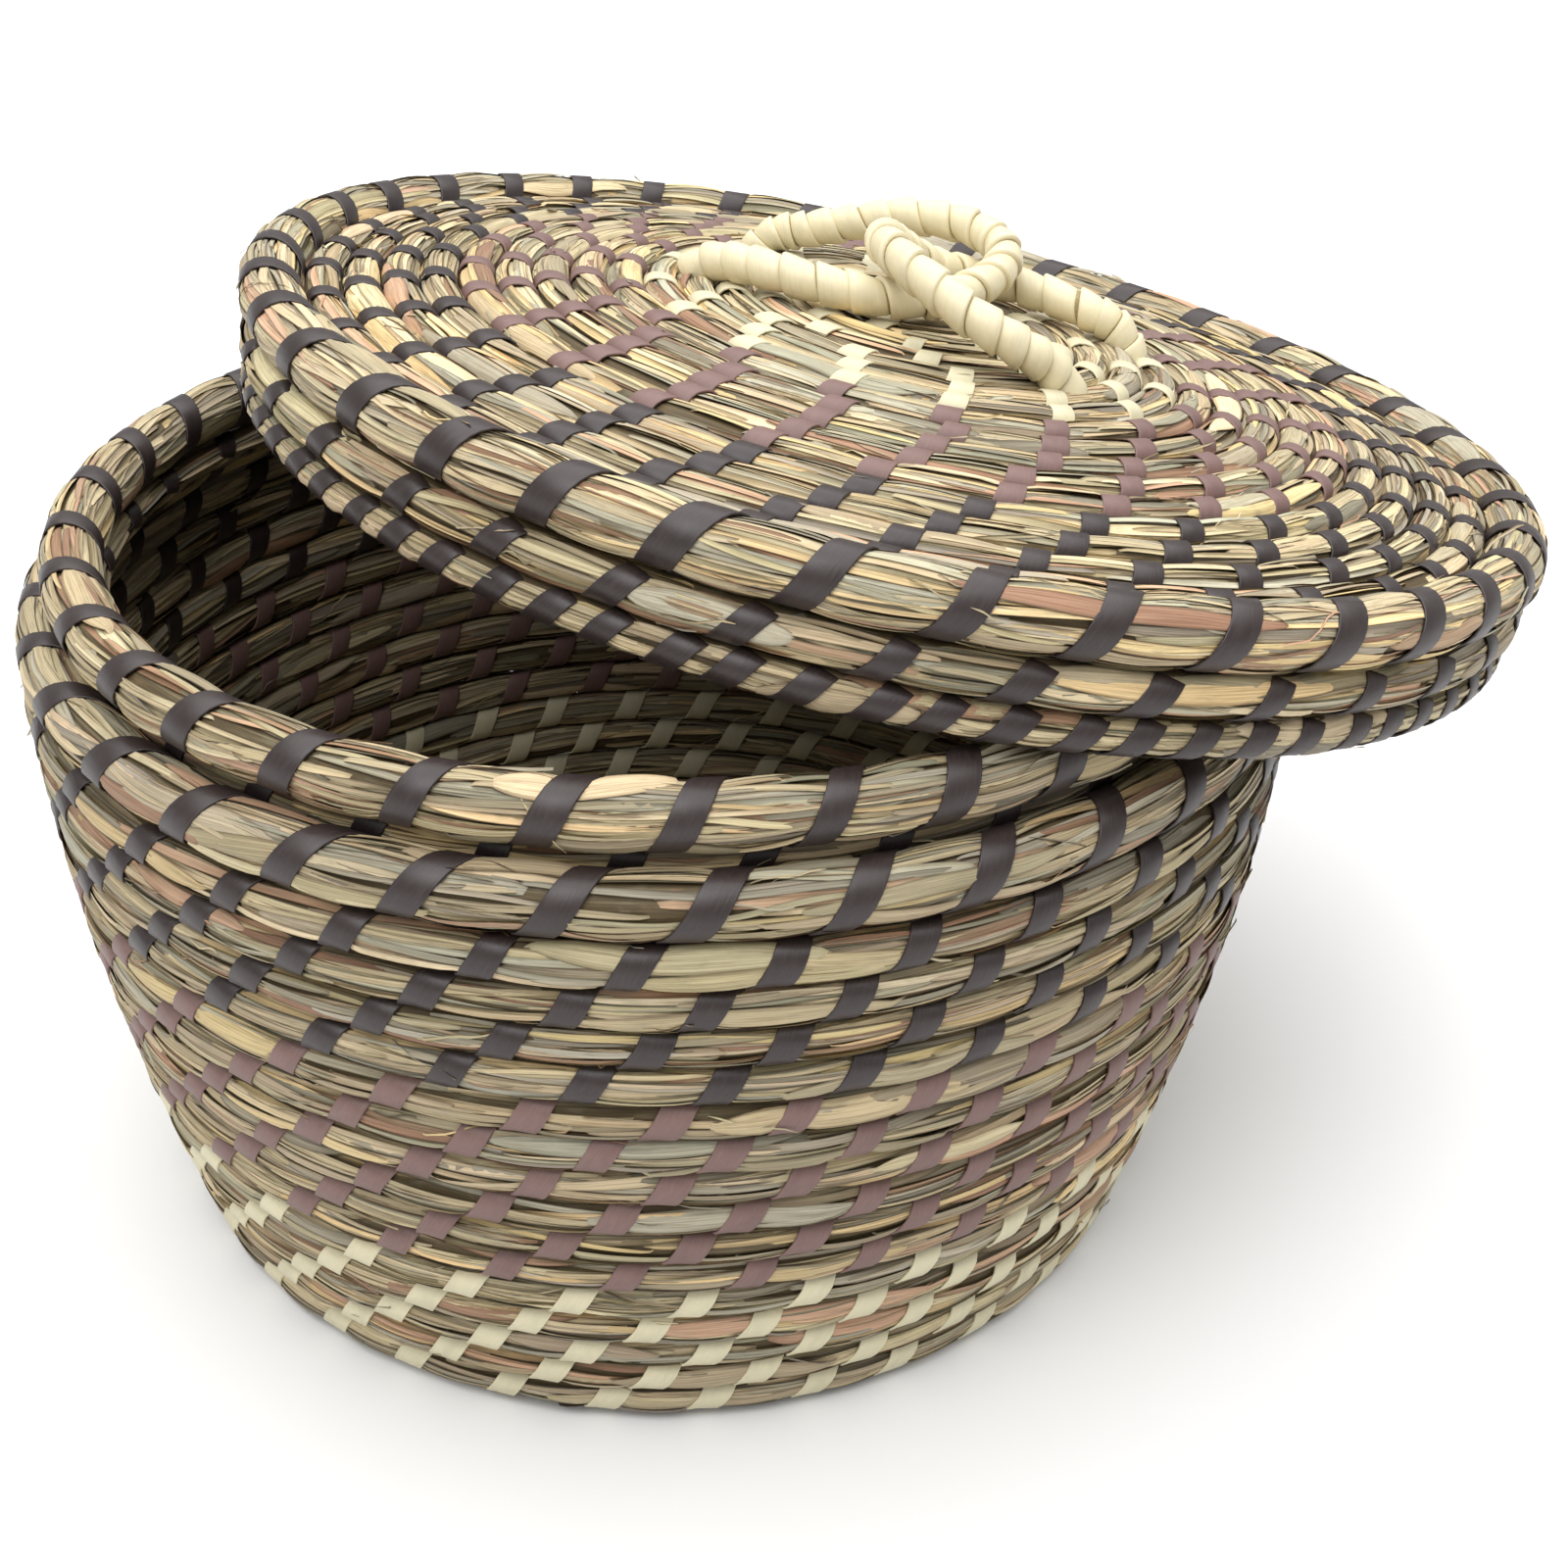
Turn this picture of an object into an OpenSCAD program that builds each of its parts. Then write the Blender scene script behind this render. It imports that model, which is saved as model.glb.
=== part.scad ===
// Round coiled seagrass basket with a loose domed lid, shown with the lid set askew on the rim.
// Each turn of the one long coil is drawn as its own closed ring, and each sewn strap as a band round it.
// Units: millimetres. +Z is up. Origin: centre of the basket's underside, on the floor.

/* [Basket] */
// Height of the basket at the top of the rim coil
basket_h = 146; // [110:1:200]
// Outer radius of the basket at its thick shoulder coil
basket_r = 125.5; // [100:0.5:160]
// How much smaller the radius is at the foot than at the shoulder
foot_inset = 21; // [5:0.5:40]
// Curve of the wall between shoulder and foot: 1 is a straight cone
wall_curve = 1.8; // [1:0.1:3]
// Number of ordinary wall turns below the shoulder coil
wall_turns = 15; // [8:1:18]
// Number of turns in the flat base
base_turns = 11; // [6:1:12]

/* [Coil] */
// Distance between the centres of neighbouring turns
pitch = 8; // [7:0.1:10]
// Outer radius of the rim coil with its straps
rim_coil_r = 5.8; // [5:0.1:8]
// Outer radius of the thin turn hidden under the rim
under_coil_r = 3.2; // [3:0.05:4]
// Outer radius of the thick shoulder coil
shoulder_coil_r = 5.8; // [5:0.1:8]
// How far the rim coil is set in from the shoulder's outside
rim_set_in = 11.7; // [9:0.1:16]
// Depth of the shoulder coil's centre below the top of the rim
rim_drop = 18.5; // [17:0.1:24]

/* [Straps] */
// Thickness of the flat sewing strap
strap_t = 0.26; // [0.2:0.02:0.5]
// Width of the flat sewing strap
strap_w = 5.2; // [4:0.1:7]
// Straps round each turn of the wall and rim
wall_straps_n = 34; // [24:1:48]
// Straps round the lid's edge and skirt
edge_straps_n = 37; // [24:1:48]
// Distance between straps along the flat base and lid turns
strap_gap = 20; // [15:0.5:30]
// Degrees each turn's straps step round from those of the turn above
strap_step = 4.8; // [0:0.1:6]

/* [Lid] */
// Outer radius of the lid at its edge coil
lid_r = 132; // [110:0.5:165]
// Outer radius of the lid's thick edge coil
edge_coil_r = 6; // [5:0.1:8]
// Rise of the lid's middle turns above the outermost flat turn
lid_dome = 10.5; // [0:0.5:20]
// Distance between the centres of the lid's turns
lid_pitch = 7.2; // [6.5:0.1:10]
// Lean of the lid from level, low side towards +X
lid_tilt = 10.7; // [0:0.1:20]
// Compass direction of the lid's low side, degrees from +X
lid_low_side = 24.5; // [-180:0.5:180]
// Lid centre, along X
lid_x = 45.7; // [0:0.1:80]
// Lid centre, along Y
lid_y = 27.3; // [-40:0.1:60]
// Height of the lid's edge coil centre
lid_z = 161.3; // [120:0.1:230]

/* [Handle] */
// Radius of the cord inside each handle loop
loop_core_r = 3.1; // [2:0.1:5]
// Thickness of the strip wound round each loop
loop_wrap_t = 0.5; // [0.3:0.05:1]
// Width of the strip wound round each loop
loop_wrap_w = 5.4; // [3:0.1:8]

/* [Hidden] */
$fn = 64;
fit_gap = 0.02;
shoulder_z = basket_h - rim_drop;
rim_c = [basket_r - rim_set_in, basket_h - rim_coil_r];
shoulder_c = [basket_r - shoulder_coil_r, shoulder_z];
under_c = nested(rim_c, rim_coil_r + under_coil_r + 0.03, shoulder_c, shoulder_coil_r + under_coil_r + 0.03);
turn_r = pitch / 2 - fit_gap;
first_wall_z = shoulder_z - shoulder_coil_r - turn_r - 0.05;
wall_pitch_z = (first_wall_z - 5.65) / (wall_turns - 1);
base_z = bare_r(turn_r, 60);
base_first_r = wall_c(wall_turns)[0] - pitch;
lid_turn_r = lid_pitch / 2 - fit_gap;
lid_first_r = lid_r - edge_coil_r - 9.75;
lid_turns = 17;
skirt_c = [lid_r - 5, -10.2];
skirt_r = 4;
hem_c = [lid_r - 5.6, -17.85];
hem_r = 3.65;
dark_wall = 4;
mauve_wall = 10;
dark_lid = 4;
mauve_lid = 9;
loop_a = [[-44.8, 3, 16.2], [-33.4, -7.2, 17.2], [-21, -13.1, 17.8], [-7.6, -13.6, 17.8], [4.7, -7.2, 19.1],
  [13.9, 4.2, 22.1], [16.6, 16.4, 25.3], [10.1, 27.3, 26.8], [-2.2, 32.5, 25.5], [-13.5, 34.2, 21.5],
  [-23.8, 35.8, 17.4], [-30, 36.9, 16.2]];
loop_b = [[27, -31.4, 16.2], [17, -34.1, 18.5], [6.9, -32.5, 22], [-3.2, -24.3, 25.7], [-9.3, -11.4, 27.1],
  [-8.9, 0.7, 26.1], [-4.4, 10.3, 22.7], [2.7, 18.3, 19.1], [12.7, 22.5, 17.9], [24.8, 21.4, 17.8],
  [36.8, 15.7, 17], [45.8, 12.9, 16.1]];
loop_stations = 44;
loop_sides = 12;
wrap_turn_len = 5.7;
wrap_per_turn = 9;
wrap_in_r = loop_core_r / cos(180 / wrap_per_turn) + 0.1;

// Bare radius of a turn whose straps, w wide, reach out to radius r, on a ring of radius ring_r.
function bare_r(r, ring_r, w = strap_w) = r - strap_t - 0.03 - w * w / (8 * (ring_r - r));
// Centre at distance p from a and q from b, on the hub side of the line from a down to b.
function nested(a, p, b, q) = let(v = b - a, l = norm(v), x = (l * l + p * p - q * q) / (2 * l),
  y = sqrt(p * p - x * x)) a + x / l * v + y / l * [v[1], -v[0]];
// Straps on the small turns near a hub are cut narrower.
function strap_w_on(ring_r) = ring_r < 25 ? 3 : strap_w;
function inset(z) = foot_inset * pow(max(0, 1 - z / shoulder_z), wall_curve);
// Centre of wall turn k, counted down from the shoulder, as [radius, height].
function wall_z(k) = first_wall_z - (k - 1) * wall_pitch_z;
function wall_c(k) = [basket_r - turn_r - inset(wall_z(k)), wall_z(k)];
function base_ring(k) = base_first_r - (k - 1) * pitch;
function lid_ring(k) = lid_first_r - (k - 1) * lid_pitch;
function lid_turn_z(ring_r) = -0.4 + lid_dome * (1 - pow(ring_r / lid_first_r, 2));
function straps_on(ring_r) = max(3, round(2 * PI * ring_r / strap_gap));
// Point at u (0 to 1) along a smooth curve through the points p.
function knot(p, i) = p[max(0, min(len(p) - 1, i))];
function blend(a, b, c, d, t) =
  0.5 * ((2 * b) + (c - a) * t + (2 * a - 5 * b + 4 * c - d) * t * t + (3 * b - a - 3 * c + d) * t * t * t);
function along(p, u) = let(s = u * (len(p) - 1), i = min(len(p) - 2, floor(s)))
  blend(knot(p, i - 1), knot(p, i), knot(p, i + 1), knot(p, i + 2), s - i);
function unit(v) = v / norm(v);
function heading(p, u) = unit(along(p, min(1, u + 0.005)) - along(p, max(0, u - 0.005)));
// Sideways direction across a loop, kept level so that the section never twists.
function side_dir(p, u) = unit(cross(heading(p, u), [0, 0, 1]));
function around(p, u, r, a) = let(h = heading(p, u), s = side_dir(p, u), n = cross(s, h))
  along(p, u) + r * (cos(a) * s + sin(a) * n);
function path_len(p, n = 60) = vsum([for (i = [1:n]) norm(along(p, i / n) - along(p, (i - 1) / n))]);
function vsum(v, i = 0) = i >= len(v) ? 0 : v[i] + vsum(v, i + 1);

module coil(c, r) {
  rotate_extrude() translate([c[0], c[1]]) circle(r = r, $fn = 32);
}

// A turn and its straps share c = [ring radius, height] and the radius r that the straps reach.
module turn(c, r) {
  coil(c, bare_r(r, c[0], strap_w_on(c[0])));
}

module straps(c, r, n, phase = 0, gap_deg = 0, w = strap_w) {
  for (i = [0:n - 1])
    rotate([0, 0, phase + 360 * i / n])
      translate([c[0], 0, c[1]])
        rotate([90, 0, 0])
          rotate_extrude(angle = 360 - gap_deg, start = -90 + gap_deg / 2, $fn = 32)
            translate([r - strap_t, -w / 2]) square([strap_t, w]);
}

module tube(p, r) {
  pts = [for (i = [0:loop_stations]) for (j = [0:loop_sides - 1])
    around(p, i / loop_stations, r, -360 * j / loop_sides)];
  walls = [for (i = [0:loop_stations - 1]) for (j = [0:loop_sides - 1])
    let(a = i * loop_sides + j, b = i * loop_sides + (j + 1) % loop_sides)
      [a, b, b + loop_sides, a + loop_sides]];
  first = [for (j = [loop_sides - 1:-1:0]) j];
  last = [for (j = [0:loop_sides - 1]) loop_stations * loop_sides + j];
  polyhedron(points = pts, faces = concat([first], walls, [last]), convexity = 6);
}

// A flat strip wound along p, its inner face at radius r.
module winding(p, r) {
  total = path_len(p);
  turns = floor((total - loop_wrap_w) / wrap_turn_len);
  n = turns * wrap_per_turn;
  pts = [for (i = [0:n]) for (q = [[0, 0], [0, 1], [1, 1], [1, 0]])
    around(p, (i / n * (total - loop_wrap_w) + q[0] * loop_wrap_w) / total,
      r + q[1] * loop_wrap_t, -360 * i / wrap_per_turn)];
  walls = [for (i = [0:n - 1]) for (j = [0:3])
    let(a = i * 4 + j, b = i * 4 + (j + 1) % 4) [a, b, b + 4, a + 4]];
  polyhedron(points = pts, faces = concat([[3, 2, 1, 0]], walls, [[n * 4, n * 4 + 1, n * 4 + 2, n * 4 + 3]]),
    convexity = 10);
}

module lid_place() {
  translate([lid_x, lid_y, lid_z])
    rotate([0, 0, lid_low_side]) rotate([0, lid_tilt, 0]) rotate([0, 0, -lid_low_side])
      children();
}

module rim_coil() { color([0.72, 0.66, 0.49]) turn(rim_c, rim_coil_r); }
module rim_under_coil() { color([0.66, 0.60, 0.44]) turn(under_c, under_coil_r); }
module shoulder_coil() { color([0.72, 0.66, 0.49]) turn(shoulder_c, shoulder_coil_r); }
module wall_turn(k) { color([0.69, 0.63, 0.46]) turn(wall_c(k), turn_r); }

module base_coil() {
  color([0.69, 0.63, 0.46])
    for (k = [1:base_turns])
      let(c = base_ring(k)) coil([c, base_z], min(base_z, bare_r(turn_r, c, strap_w_on(c))));
}

// The tight start of a coil: a round cake with a rounded edge, its middle plane at height 0.
module button(r_out, half) {
  rotate_extrude() intersection() {
    translate([0, -half]) square([r_out, 2 * half]);
    union() {
      translate([0, -half]) square([r_out - half, 2 * half]);
      translate([r_out - half, 0]) circle(r = half, $fn = 32);
    }
  }
}

module base_centre() {
  color([0.69, 0.63, 0.46])
    translate([0, 0, base_z]) button(base_ring(base_turns) - turn_r - 0.1, base_z);
}

module rim_straps() {
  color([0.27, 0.23, 0.24]) {
    straps(rim_c, rim_coil_r, wall_straps_n);
    straps(under_c, under_coil_r, wall_straps_n, -strap_step, 0, strap_w - 1);
    straps(shoulder_c, shoulder_coil_r, wall_straps_n, -strap_step * 2);
  }
}

module wall_straps(from_k, to_k) {
  for (k = [from_k:to_k]) straps(wall_c(k), turn_r, wall_straps_n, -strap_step * (k + 2.1));
}
module wall_straps_dark() { color([0.27, 0.23, 0.24]) wall_straps(1, dark_wall); }
module wall_straps_mauve() { color([0.55, 0.43, 0.41]) wall_straps(dark_wall + 1, mauve_wall); }
module wall_straps_ivory() { color([0.91, 0.88, 0.76]) wall_straps(mauve_wall + 1, wall_turns); }
module base_straps() {
  color([0.91, 0.88, 0.76])
    for (k = [1:base_turns])
      let(c = base_ring(k)) straps([c, base_z], turn_r, straps_on(c), 7 * k, 70, strap_w_on(c));
}

module lid_turn(k) {
  let(c = lid_ring(k)) turn([c, lid_turn_z(c)], lid_turn_r);
}
module lid_coil_dark() {
  lid_place() color([0.72, 0.66, 0.49]) for (k = [1:dark_lid]) lid_turn(k);
}
module lid_coil_mauve() {
  lid_place() color([0.70, 0.64, 0.47]) for (k = [dark_lid + 1:mauve_lid]) lid_turn(k);
}
module lid_coil_ivory() {
  lid_place() color([0.72, 0.66, 0.49]) for (k = [mauve_lid + 1:lid_turns - 1]) lid_turn(k);
}
module lid_centre() {
  lid_place() color([0.72, 0.66, 0.49])
    translate([0, 0, lid_turn_z(0)]) button(lid_ring(lid_turns - 1) - lid_turn_r - 0.1, 3.3);
}
module lid_edge_coil() {
  lid_place() color([0.72, 0.66, 0.49]) turn([lid_r - edge_coil_r, 0], edge_coil_r);
}
module lid_skirt_coil() { lid_place() color([0.69, 0.63, 0.46]) turn(skirt_c, skirt_r); }
module lid_hem_coil() { lid_place() color([0.66, 0.60, 0.44]) turn(hem_c, hem_r); }

module lid_strap_rows(from_k, to_k) {
  for (k = [from_k:to_k])
    let(c = lid_ring(k))
      straps([c, lid_turn_z(c)], lid_turn_r, straps_on(c), 4 * k, 0, strap_w_on(c));
}
module lid_straps_dark() { lid_place() color([0.27, 0.23, 0.24]) lid_strap_rows(1, dark_lid); }
module lid_straps_mauve() { lid_place() color([0.55, 0.43, 0.41]) lid_strap_rows(dark_lid + 1, mauve_lid); }
module lid_straps_ivory() { lid_place() color([0.91, 0.88, 0.76]) lid_strap_rows(mauve_lid + 1, lid_turns - 1); }
module lid_edge_straps() {
  lid_place() color([0.27, 0.23, 0.24]) {
    straps([lid_r - edge_coil_r, 0], edge_coil_r, edge_straps_n);
    straps(skirt_c, skirt_r, edge_straps_n, -4.5);
  }
}
module lid_hem_straps() { lid_place() color([0.27, 0.23, 0.24]) straps(hem_c, hem_r, 2 * edge_straps_n, 2); }

module handle_loop_a_core() { lid_place() color([0.70, 0.64, 0.47]) tube(loop_a, loop_core_r); }
module handle_loop_b_core() { lid_place() color([0.70, 0.64, 0.47]) tube(loop_b, loop_core_r); }
module handle_loop_a_wrap() { lid_place() color([0.91, 0.88, 0.76]) winding(loop_a, wrap_in_r); }
module handle_loop_b_wrap() { lid_place() color([0.91, 0.88, 0.76]) winding(loop_b, wrap_in_r); }

module wall_coil_01() { wall_turn(1); }
module wall_coil_02() { wall_turn(2); }
module wall_coil_03() { wall_turn(3); }
module wall_coil_04() { wall_turn(4); }
module wall_coil_05() { wall_turn(5); }
module wall_coil_06() { wall_turn(6); }
module wall_coil_07() { wall_turn(7); }
module wall_coil_08() { wall_turn(8); }
module wall_coil_09() { wall_turn(9); }
module wall_coil_10() { wall_turn(10); }
module wall_coil_11() { wall_turn(11); }
module wall_coil_12() { wall_turn(12); }
module wall_coil_13() { wall_turn(13); }
module wall_coil_14() { wall_turn(14); }
module wall_coil_15() { wall_turn(15); }

rim_coil();
rim_under_coil();
shoulder_coil();
wall_coil_01();
wall_coil_02();
wall_coil_03();
wall_coil_04();
wall_coil_05();
wall_coil_06();
wall_coil_07();
wall_coil_08();
wall_coil_09();
wall_coil_10();
wall_coil_11();
wall_coil_12();
wall_coil_13();
wall_coil_14();
wall_coil_15();
base_coil();
base_centre();
rim_straps();
wall_straps_dark();
wall_straps_mauve();
wall_straps_ivory();
base_straps();
lid_edge_coil();
lid_skirt_coil();
lid_hem_coil();
lid_coil_dark();
lid_coil_mauve();
lid_coil_ivory();
lid_centre();
lid_straps_dark();
lid_straps_mauve();
lid_straps_ivory();
lid_edge_straps();
lid_hem_straps();
handle_loop_a_core();
handle_loop_b_core();
handle_loop_a_wrap();
handle_loop_b_wrap();
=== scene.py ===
"""Coiled seagrass basket with a loose domed lid: the visual model on its CAD frame.

Lengths inside the classes are in millimetres; meshes are written in metres.
"""

import logging
import math
from dataclasses import dataclass, field
from enum import Enum

import bpy
import numpy as np
from mathutils import Matrix, Vector

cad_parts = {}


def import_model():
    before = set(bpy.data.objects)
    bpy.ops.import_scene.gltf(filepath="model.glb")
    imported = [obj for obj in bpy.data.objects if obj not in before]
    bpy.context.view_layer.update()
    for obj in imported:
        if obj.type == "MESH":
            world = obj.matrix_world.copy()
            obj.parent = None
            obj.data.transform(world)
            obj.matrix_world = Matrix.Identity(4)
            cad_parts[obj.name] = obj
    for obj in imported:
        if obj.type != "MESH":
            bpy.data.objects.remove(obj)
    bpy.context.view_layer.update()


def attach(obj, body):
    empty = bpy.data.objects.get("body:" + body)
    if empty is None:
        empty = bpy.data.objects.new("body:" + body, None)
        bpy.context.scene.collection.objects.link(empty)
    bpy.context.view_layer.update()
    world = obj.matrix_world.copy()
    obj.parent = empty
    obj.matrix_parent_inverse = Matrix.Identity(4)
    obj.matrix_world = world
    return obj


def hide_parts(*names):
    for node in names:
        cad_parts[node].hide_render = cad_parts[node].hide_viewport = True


LOG = logging.getLogger("basket")
MM = 0.001
TAU = 2.0 * math.pi
Colour = tuple[float, float, float]
Point = tuple[float, float, float]


# ---------------------------------------------------------------- shader maths


class Sock:
    """A node socket that can be used in arithmetic."""

    def __init__(self, tree: bpy.types.NodeTree, socket: bpy.types.NodeSocket) -> None:
        """Keeps the tree and the output socket."""
        self.tree = tree
        self.socket = socket

    def _math(self, op: str, *others: "Sock | float") -> "Sock":
        """Adds one Math node.

        Args:
            op: Blender's name of the operation.
            others: the further operands, sockets or numbers.
        Returns:
            The node's result.
        """
        node = self.tree.nodes.new("ShaderNodeMath")
        node.operation = op
        for slot, value in zip(node.inputs, (self,) + others):
            if isinstance(value, Sock):
                self.tree.links.new(value.socket, slot)
            else:
                slot.default_value = float(value)
        return Sock(self.tree, node.outputs[0])

    def _flip(self, op: str, other: float) -> "Sock":
        """Math with a number on the left."""
        node = self.tree.nodes.new("ShaderNodeMath")
        node.operation = op
        node.inputs[0].default_value = float(other)
        self.tree.links.new(self.socket, node.inputs[1])
        return Sock(self.tree, node.outputs[0])

    def __add__(self, other: "Sock | float") -> "Sock":
        """Sum."""
        return self._math("ADD", other)

    __radd__ = __add__

    def __sub__(self, other: "Sock | float") -> "Sock":
        """Difference."""
        return self._math("SUBTRACT", other)

    def __rsub__(self, other: float) -> "Sock":
        """Number less socket."""
        return self._flip("SUBTRACT", other)

    def __mul__(self, other: "Sock | float") -> "Sock":
        """Product."""
        return self._math("MULTIPLY", other)

    __rmul__ = __mul__

    def clip(self) -> "Sock":
        """Held between 0 and 1."""
        return self._math("MAXIMUM", 0.0)._math("MINIMUM", 1.0)

    def size(self) -> "Sock":
        """Without its sign."""
        return self._math("ABSOLUTE")


class ShaderTree:
    """A material's node tree with one method that makes any node."""

    def __init__(self, name: str) -> None:
        """Makes an empty node material."""
        self.material = bpy.data.materials.new(name)
        self.material.use_nodes = True
        self.tree = self.material.node_tree
        self.tree.nodes.clear()

    def node(
        self, kind: str, settings: dict | None = None, inputs: dict | None = None, output: int | str = 0
    ) -> Sock:
        """Makes a node.

        Args:
            kind: the node's type.
            settings: attributes set before anything is linked.
            inputs: socket name to value or Sock.
            output: which output to return.
        Returns:
            The chosen output.
        """
        made = self.tree.nodes.new(kind)
        for key, value in (settings or {}).items():
            setattr(made, key, value)
        for key, value in (inputs or {}).items():
            slot = made.inputs[key]
            if isinstance(value, Sock):
                self.tree.links.new(value.socket, slot)
            elif hasattr(slot.default_value, "__len__"):
                lacks_alpha = len(value) == 3 and len(slot.default_value) == 4
                slot.default_value = (*value, 1.0) if lacks_alpha else value
            else:
                slot.default_value = value
        return Sock(self.tree, made.outputs[output])

    def mix(self, a: Sock | Colour, b: Sock | Colour, factor: Sock | float, mode: str = "MIX") -> Sock:
        """Mixes two colours.

        Args:
            a: first colour or Sock.
            b: second colour or Sock.
            factor: amount of b.
            mode: blend type.
        Returns:
            The mixed colour.
        """
        made = self.tree.nodes.new("ShaderNodeMix")
        made.data_type = "RGBA"
        made.blend_type = mode
        for slot, value in ((made.inputs[0], factor), (made.inputs[6], a), (made.inputs[7], b)):
            if isinstance(value, Sock):
                self.tree.links.new(value.socket, slot)
            elif isinstance(value, (int, float)):
                slot.default_value = value
            else:
                slot.default_value = (*value, 1.0)
        return Sock(self.tree, made.outputs[2])

    def noise(self, vector: Sock, scale: float, detail: float = 3.0, rough: float = 0.55) -> Sock:
        """Noise value at a vector."""
        return self.node(
            "ShaderNodeTexNoise", None, {"Vector": vector, "Scale": scale, "Detail": detail, "Roughness": rough}
        )

    def stretch(self, vector: Sock, scale: Point) -> Sock:
        """A vector multiplied part by part."""
        return self.node("ShaderNodeVectorMath", {"operation": "MULTIPLY"}, {0: vector, 1: scale})

    def surface(self, **inputs: Sock | float | Colour) -> bpy.types.Material:
        """Closes the tree with a Principled shader.

        Args:
            inputs: socket names, with spaces as underscores, to values or Socks.
        Returns:
            The finished material.
        """
        named = {key.replace("_", " "): value for key, value in inputs.items()}
        shader = self.node("ShaderNodeBsdfPrincipled", None, named)
        out = self.tree.nodes.new("ShaderNodeOutputMaterial")
        self.tree.links.new(shader.socket, out.inputs["Surface"])
        return self.material


def linear(r: float, g: float, b: float) -> Colour:
    """A display colour (0 to 255) as linear light.

    ((c + 0.055) / 1.055) to the power 2.4, or c / 12.92 near black.
    """
    return tuple(
        (c / 255 / 12.92) if c / 255 <= 0.04045 else ((c / 255 + 0.055) / 1.055) ** 2.4 for c in (r, g, b)
    )


@dataclass(frozen=True)
class SeagrassFinish:
    """Dry grass blades: each blade has its own tint and streaks along its length, with painted shade in its fine
    lengthwise creases and at its edges, in the gaps between blades.
    """

    name: str = "seagrass"
    # strength of the painted shade in the fine lengthwise creases
    groove_shade: float = 0.52
    bump: float = 0.6

    def material(self) -> bpy.types.Material:
        """Builds the grass material.

        Returns:
            The material; it reads the blade's tint attribute and its map (across, along, in mm).
        """
        t = ShaderTree(self.name)
        tint = t.node("ShaderNodeAttribute", {"attribute_name": "tint"}, None, "Color")
        side = t.node("ShaderNodeAttribute", {"attribute_name": "tint"}, None, "Alpha") * 2.0 - 1.0
        along = t.node("ShaderNodeUVMap", {"uv_map": "blade"}, None, "UV")
        fine = t.noise(t.stretch(along, (3.6, 0.06, 1.0)), 1.0, 4.0, 0.62)
        broad = t.noise(t.stretch(along, (0.9, 0.03, 1.0)), 1.0, 2.0)
        blotch = t.noise(t.stretch(along, (0.5, 0.16, 1.0)), 1.0, 3.0)
        speck = t.noise(t.stretch(along, (2.0, 0.9, 1.0)), 1.0, 3.0, 0.7)
        # 1 on the fine ridges, 0 in the creases between them: the low places of the same bump, which are darkened
        # below as painted shade
        ridge_unshaded = ((fine - 0.38) * 4.5).clip()
        light = t.mix(tint, linear(224, 208, 172), ((broad - 0.50) * 2.2).clip() * 0.30)
        tan = t.mix(light, linear(182, 140, 108), ((blotch - 0.60) * 5.0).clip() * 0.32)
        dull = t.mix(tan, linear(140, 136, 112), ((0.44 - blotch) * 5.0).clip() * 0.45)
        spot = t.mix(dull, linear(96, 74, 44), ((speck - 0.70) * 9.0).clip() * 0.55)
        # painted shade: the colour is multiplied down in the fine creases
        dark = t.mix(spot, (0.26, 0.21, 0.13), (1.0 - ridge_unshaded) * self.groove_shade, "MULTIPLY")
        # painted shade: both edges of every blade are darkened, for the shadow in the gaps between neighbouring
        # blades
        rim = ((side.size() - 0.74) * 3.8).clip()
        edge_shaded = t.mix(dark, (0.22, 0.17, 0.10), rim * 0.76, "MULTIPLY")
        height = fine * 0.6 + broad * 0.4 + (1.0 - side * side) * 0.9
        bump = t.node(
            "ShaderNodeBump", None, {"Strength": self.bump, "Distance": 0.35 * MM, "Height": height}, "Normal"
        )
        rough = 0.48 + blotch * 0.25
        return t.surface(Base_Color=edge_shaded, Roughness=rough, Normal=bump, Specular_IOR_Level=0.35)


@dataclass(frozen=True)
class StrapFinish:
    """A flat sewing strap with fine threads along it and a soft sheen."""

    name: str
    colour: Colour
    light: Colour
    rough: float = 0.5
    bump: float = 0.35

    def material(self) -> bpy.types.Material:
        """Builds the strap material.

        Returns:
            The material; it reads the strap's map (across, along, in mm).
        """
        t = ShaderTree(self.name)
        along = t.node("ShaderNodeUVMap", {"uv_map": "blade"}, None, "UV")
        thread = t.noise(t.stretch(along, (3.0, 0.25, 1.0)), 1.0, 3.0)
        speck = t.noise(t.stretch(along, (2.2, 2.2, 1.0)), 1.0, 4.0, 0.7)
        cloud = t.noise(t.stretch(along, (0.25, 0.12, 1.0)), 1.0, 2.0)
        base = t.mix(self.colour, self.light, ((thread - 0.45) * 2.0).clip() * 0.55)
        base = t.mix(base, self.light, ((speck - 0.62) * 6.0).clip() * 0.35)
        base = t.mix(base, (0.55, 0.55, 0.55), ((0.52 - cloud) * 3.0).clip() * 0.35, "MULTIPLY")
        height = thread + speck * 0.5
        bump = t.node(
            "ShaderNodeBump", None, {"Strength": self.bump, "Distance": 0.12 * MM, "Height": height}, "Normal"
        )
        rough = self.rough - 0.1 + thread * 0.2
        return t.surface(Base_Color=base, Roughness=rough, Normal=bump, Specular_IOR_Level=0.5)


@dataclass(frozen=True)
class FloorFinish:
    """Plain pale floor."""

    name: str = "floor"

    def material(self) -> bpy.types.Material:
        """Builds the floor's white."""
        return ShaderTree(self.name).surface(Base_Color=(0.80, 0.80, 0.80), Roughness=0.9)


class Tone(Enum):
    """The strap colours."""

    DARK = "dark_strap"
    MAUVE = "mauve_strap"
    IVORY = "ivory_strap"
    STRIP = "ivory_strip"


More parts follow.
